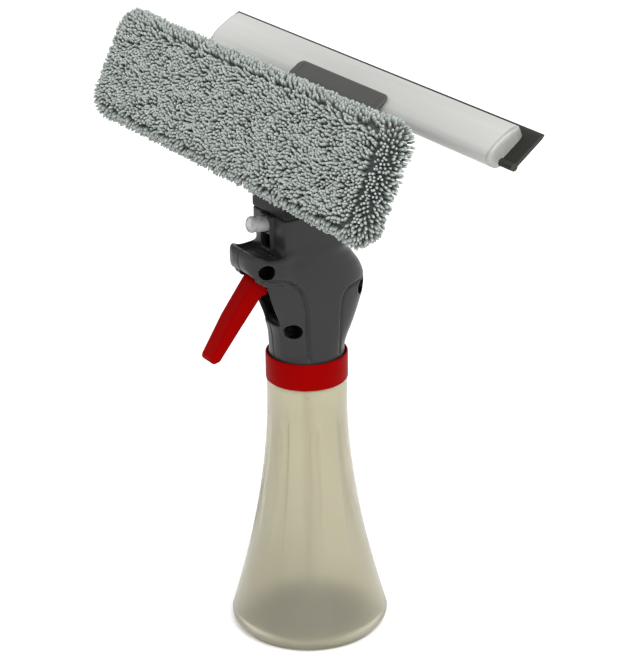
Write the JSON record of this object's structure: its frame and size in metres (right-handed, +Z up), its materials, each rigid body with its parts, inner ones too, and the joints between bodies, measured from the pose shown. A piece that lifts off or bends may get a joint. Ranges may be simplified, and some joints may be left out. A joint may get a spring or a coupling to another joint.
{
  "type": "window cleaning squeegee",
  "caption": "Hand-held window squeegee: spray bottle handle, trigger sprayer, microfibre washer pad in front and rubber blade behind.",
  "frame": {"origin": "centre of the bottle's foot, on the surface it stands on", "axes": "+X along the blade, -Y the spray direction and the washer's side, +Z up"},
  "size_m": [0.271, 0.1044, 0.3188],
  "materials": {
    "bottle_plastic": "frosted, smoke tinted, translucent",
    "red_plastic": "satin moulded",
    "grey_plastic": "satin, finely textured",
    "black_plastic": "satin",
    "plate_plastic": "satin",
    "silver_bar": "matt silver",
    "blade_rubber": "matt black",
    "seal_rubber": "matt black",
    "white_plastic": "natural white",
    "clear_plastic": "clear, slightly milky",
    "black_steel": "black zinc",
    "steel": "bright zinc",
    "microfibre": "long twisted pile, grey with dark gaps",
    "foam": "open cell foam",
    "hook_tape": "black hook tape"
  },
  "bodies": {
    "bottle": {"bottle": "bottle_plastic"},
    "sprayer": {"neck_gasket": "seal_rubber", "tube_adaptor": "white_plastic", "dip_tube": "white_plastic", "pump_body": "white_plastic", "return_spring": "steel", "outlet_valve": "seal_rubber", "discharge_tube": "white_plastic", "nozzle_barrel": "white_plastic", "nozzle": "clear_plastic", "trigger_pin": "steel", "shell_right": "grey_plastic", "shell_left": "grey_plastic", "shell_screws": "black_steel", "head_bracket": "black_plastic", "head_screw": "steel", "bracket_cover": "plate_plastic", "cover_screws": "steel", "blade_bar": "silver_bar", "bar_end_caps": "silver_bar", "blade_rubber": "blade_rubber", "pad_holder": "black_plastic", "holder_screws": "steel", "hook_strips": "hook_tape"},
    "collar": {"collar": "red_plastic"},
    "trigger": {"trigger": "red_plastic"},
    "piston": {"piston": "white_plastic", "piston_seal": "seal_rubber"},
    "inlet_ball": {"inlet_ball": "steel"},
    "washer_pad": {"washer_pad": "microfibre", "pad_core": "foam"}
  },
  "joints": [
    {"name": "sprayer_lift", "type": "slide", "parent": "bottle", "child": "sprayer", "axis": [0, 0, 1], "range_m": [0, 0.165]},
    {"name": "collar_turn", "type": "hinge", "parent": "sprayer", "child": "collar", "pos_m": [0, 0, 0.15], "axis": [0, 0, 1], "range_deg": [0, 450]},
    {"name": "trigger_squeeze", "type": "hinge", "parent": "sprayer", "child": "trigger", "pos_m": [0, -0.024, 0.2095], "axis": [1, 0, 0], "range_deg": [0, 20], "stiffness_Nm_per_rad": 0.25, "springref_deg": -20.05},
    {"name": "piston_slide", "type": "slide", "parent": "sprayer", "child": "piston", "axis": [0, 1, 0], "range_m": [0, 0.0046], "deforming": ["return_spring"]},
    {"name": "ball_lift", "type": "slide", "parent": "sprayer", "child": "inlet_ball", "axis": [0, 0, 1], "range_m": [0, 0.0015]},
    {"name": "pad_pull", "type": "slide", "parent": "sprayer", "child": "washer_pad", "axis": [0, -0.9063, 0.4226], "range_m": [0, 0.05]}
  ],
  "couplings": [
    {"joint": "piston_slide", "follows": "trigger_squeeze", "m_per_rad": 0.0128}
  ]
}
